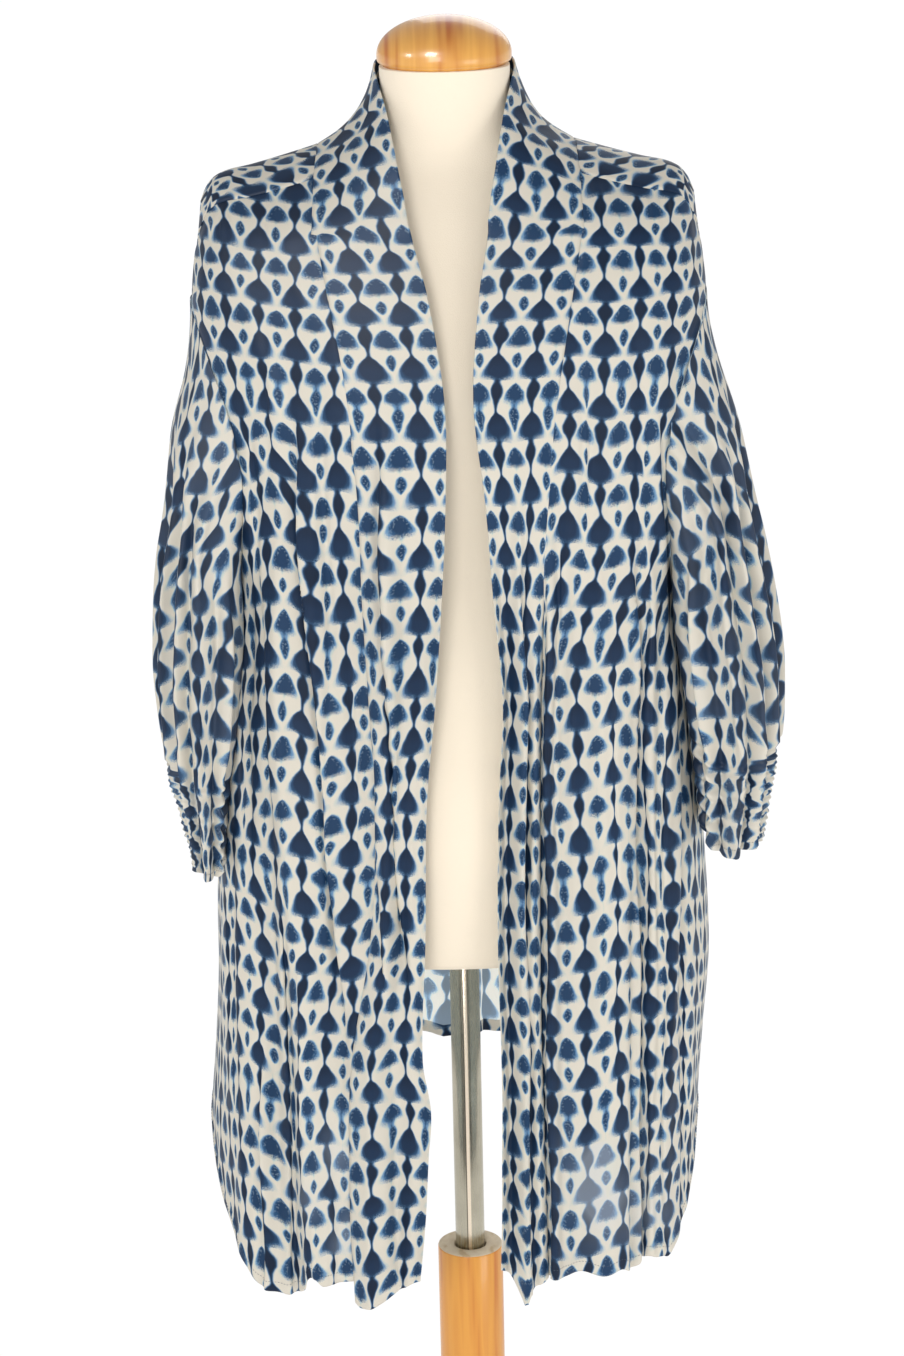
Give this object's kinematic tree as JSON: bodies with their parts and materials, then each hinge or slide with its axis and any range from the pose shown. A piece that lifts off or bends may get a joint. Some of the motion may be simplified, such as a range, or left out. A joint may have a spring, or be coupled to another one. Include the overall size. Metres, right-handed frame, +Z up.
{
  "type": "open kimono-style jacket on a limbless dress form and stand",
  "caption": "Open-front kimono-style jacket of thin printed viscose with a wide collar band and ruched sleeve ends, worn on a jersey dress form on a steel pole, wooden post and round foot",
  "frame": {"origin": "the middle of the round foot's underside, on the floor", "axes": "+Z up, the form faces -Y, +X is on the right seen from in front"},
  "size_m": [0.5386, 0.36, 1.5093],
  "materials": {
    "printed_viscose": "thin satin-faced viscose, cream ground with a navy drop-and-diamond print",
    "cream_jersey": "smooth matt cotton jersey over padding",
    "lacquered_pine": "honey lacquer over pine",
    "steel_tube": "drawn steel tube, slightly dull",
    "pine_post": "amber lacquer over pine, end grain left bare"
  },
  "bodies": {
    "root": {"back": "printed_viscose", "front_left": "printed_viscose", "front_right": "printed_viscose", "band_left": "printed_viscose", "band_right": "printed_viscose", "sleeve_left": "printed_viscose", "sleeve_right": "printed_viscose", "form_torso": "cream_jersey", "neck_cap": "lacquered_pine", "pole": "steel_tube", "post": "pine_post", "foot": "pine_post"}
  },
  "joints": []
}
